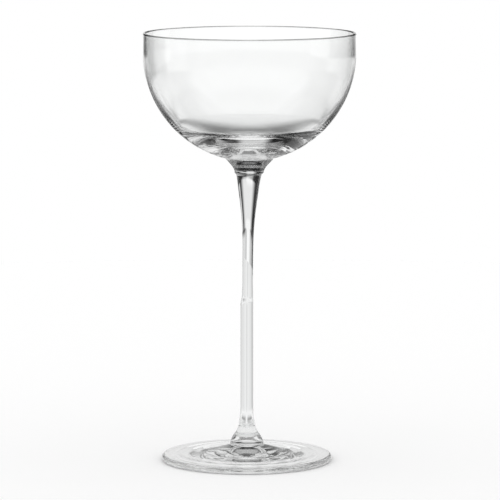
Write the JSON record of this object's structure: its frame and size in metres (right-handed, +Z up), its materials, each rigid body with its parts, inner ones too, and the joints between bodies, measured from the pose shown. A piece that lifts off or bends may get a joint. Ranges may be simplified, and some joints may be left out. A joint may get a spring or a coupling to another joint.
{
  "type": "cocktail glass",
  "caption": "Tall stemmed coupe cocktail glass in clear glass: round bowl with a short upright band, slender leaning stem with collars, and a rippled round foot.",
  "frame": {"origin": "on the table, straight under the centre of the rim", "axes": "+Z up along the bowl's axis, +X to the right and -Y to the front in the picture"},
  "size_m": [0.1, 0.1, 0.2024],
  "materials": {
    "clear_glass": "fire-polished, colourless"
  },
  "bodies": {
    "root": {"foot": "clear_glass", "foot_collar": "clear_glass", "lower_stem": "clear_glass", "upper_stem": "clear_glass", "bowl_collar": "clear_glass", "bowl": "clear_glass"}
  },
  "joints": []
}
